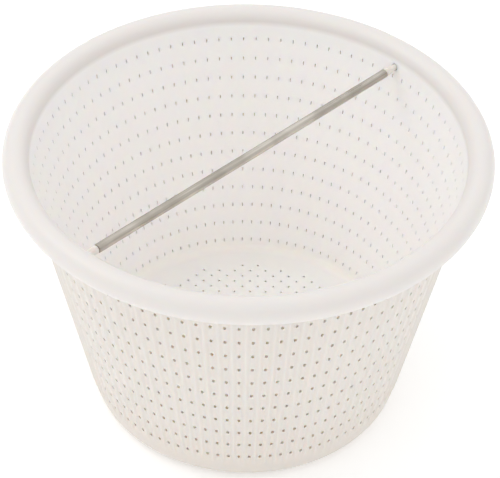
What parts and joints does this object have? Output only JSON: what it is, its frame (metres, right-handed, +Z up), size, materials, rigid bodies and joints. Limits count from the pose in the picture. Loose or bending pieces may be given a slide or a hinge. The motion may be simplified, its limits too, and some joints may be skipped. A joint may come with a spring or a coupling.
{
  "type": "cheese mold",
  "caption": "Round tapered basket with perforated wall and floor, a rolled rim, and a metal bar across its mouth.",
  "frame": {"origin": "centre of the ring that the basket stands on, at ground level", "axes": "+Z up out of the mouth, +X along the cross bar, +Y level and square to the bar"},
  "size_m": [0.212, 0.212, 0.138],
  "materials": {
    "ivory_plastic": "satin moulded, slightly translucent",
    "brushed_bar": "brushed along the bar",
    "plug_plastic": "satin moulded"
  },
  "bodies": {
    "basket": {"basket": "ivory_plastic"},
    "bar": {"cross_bar": "brushed_bar", "bar_plug_left": "plug_plastic", "bar_plug_right": "plug_plastic"}
  },
  "joints": [
    {"name": "bar_spin", "type": "hinge", "parent": "basket", "child": "bar", "pos_m": [0, 0, 0.129], "axis": [1, 0, 0], "continuous": true}
  ]
}
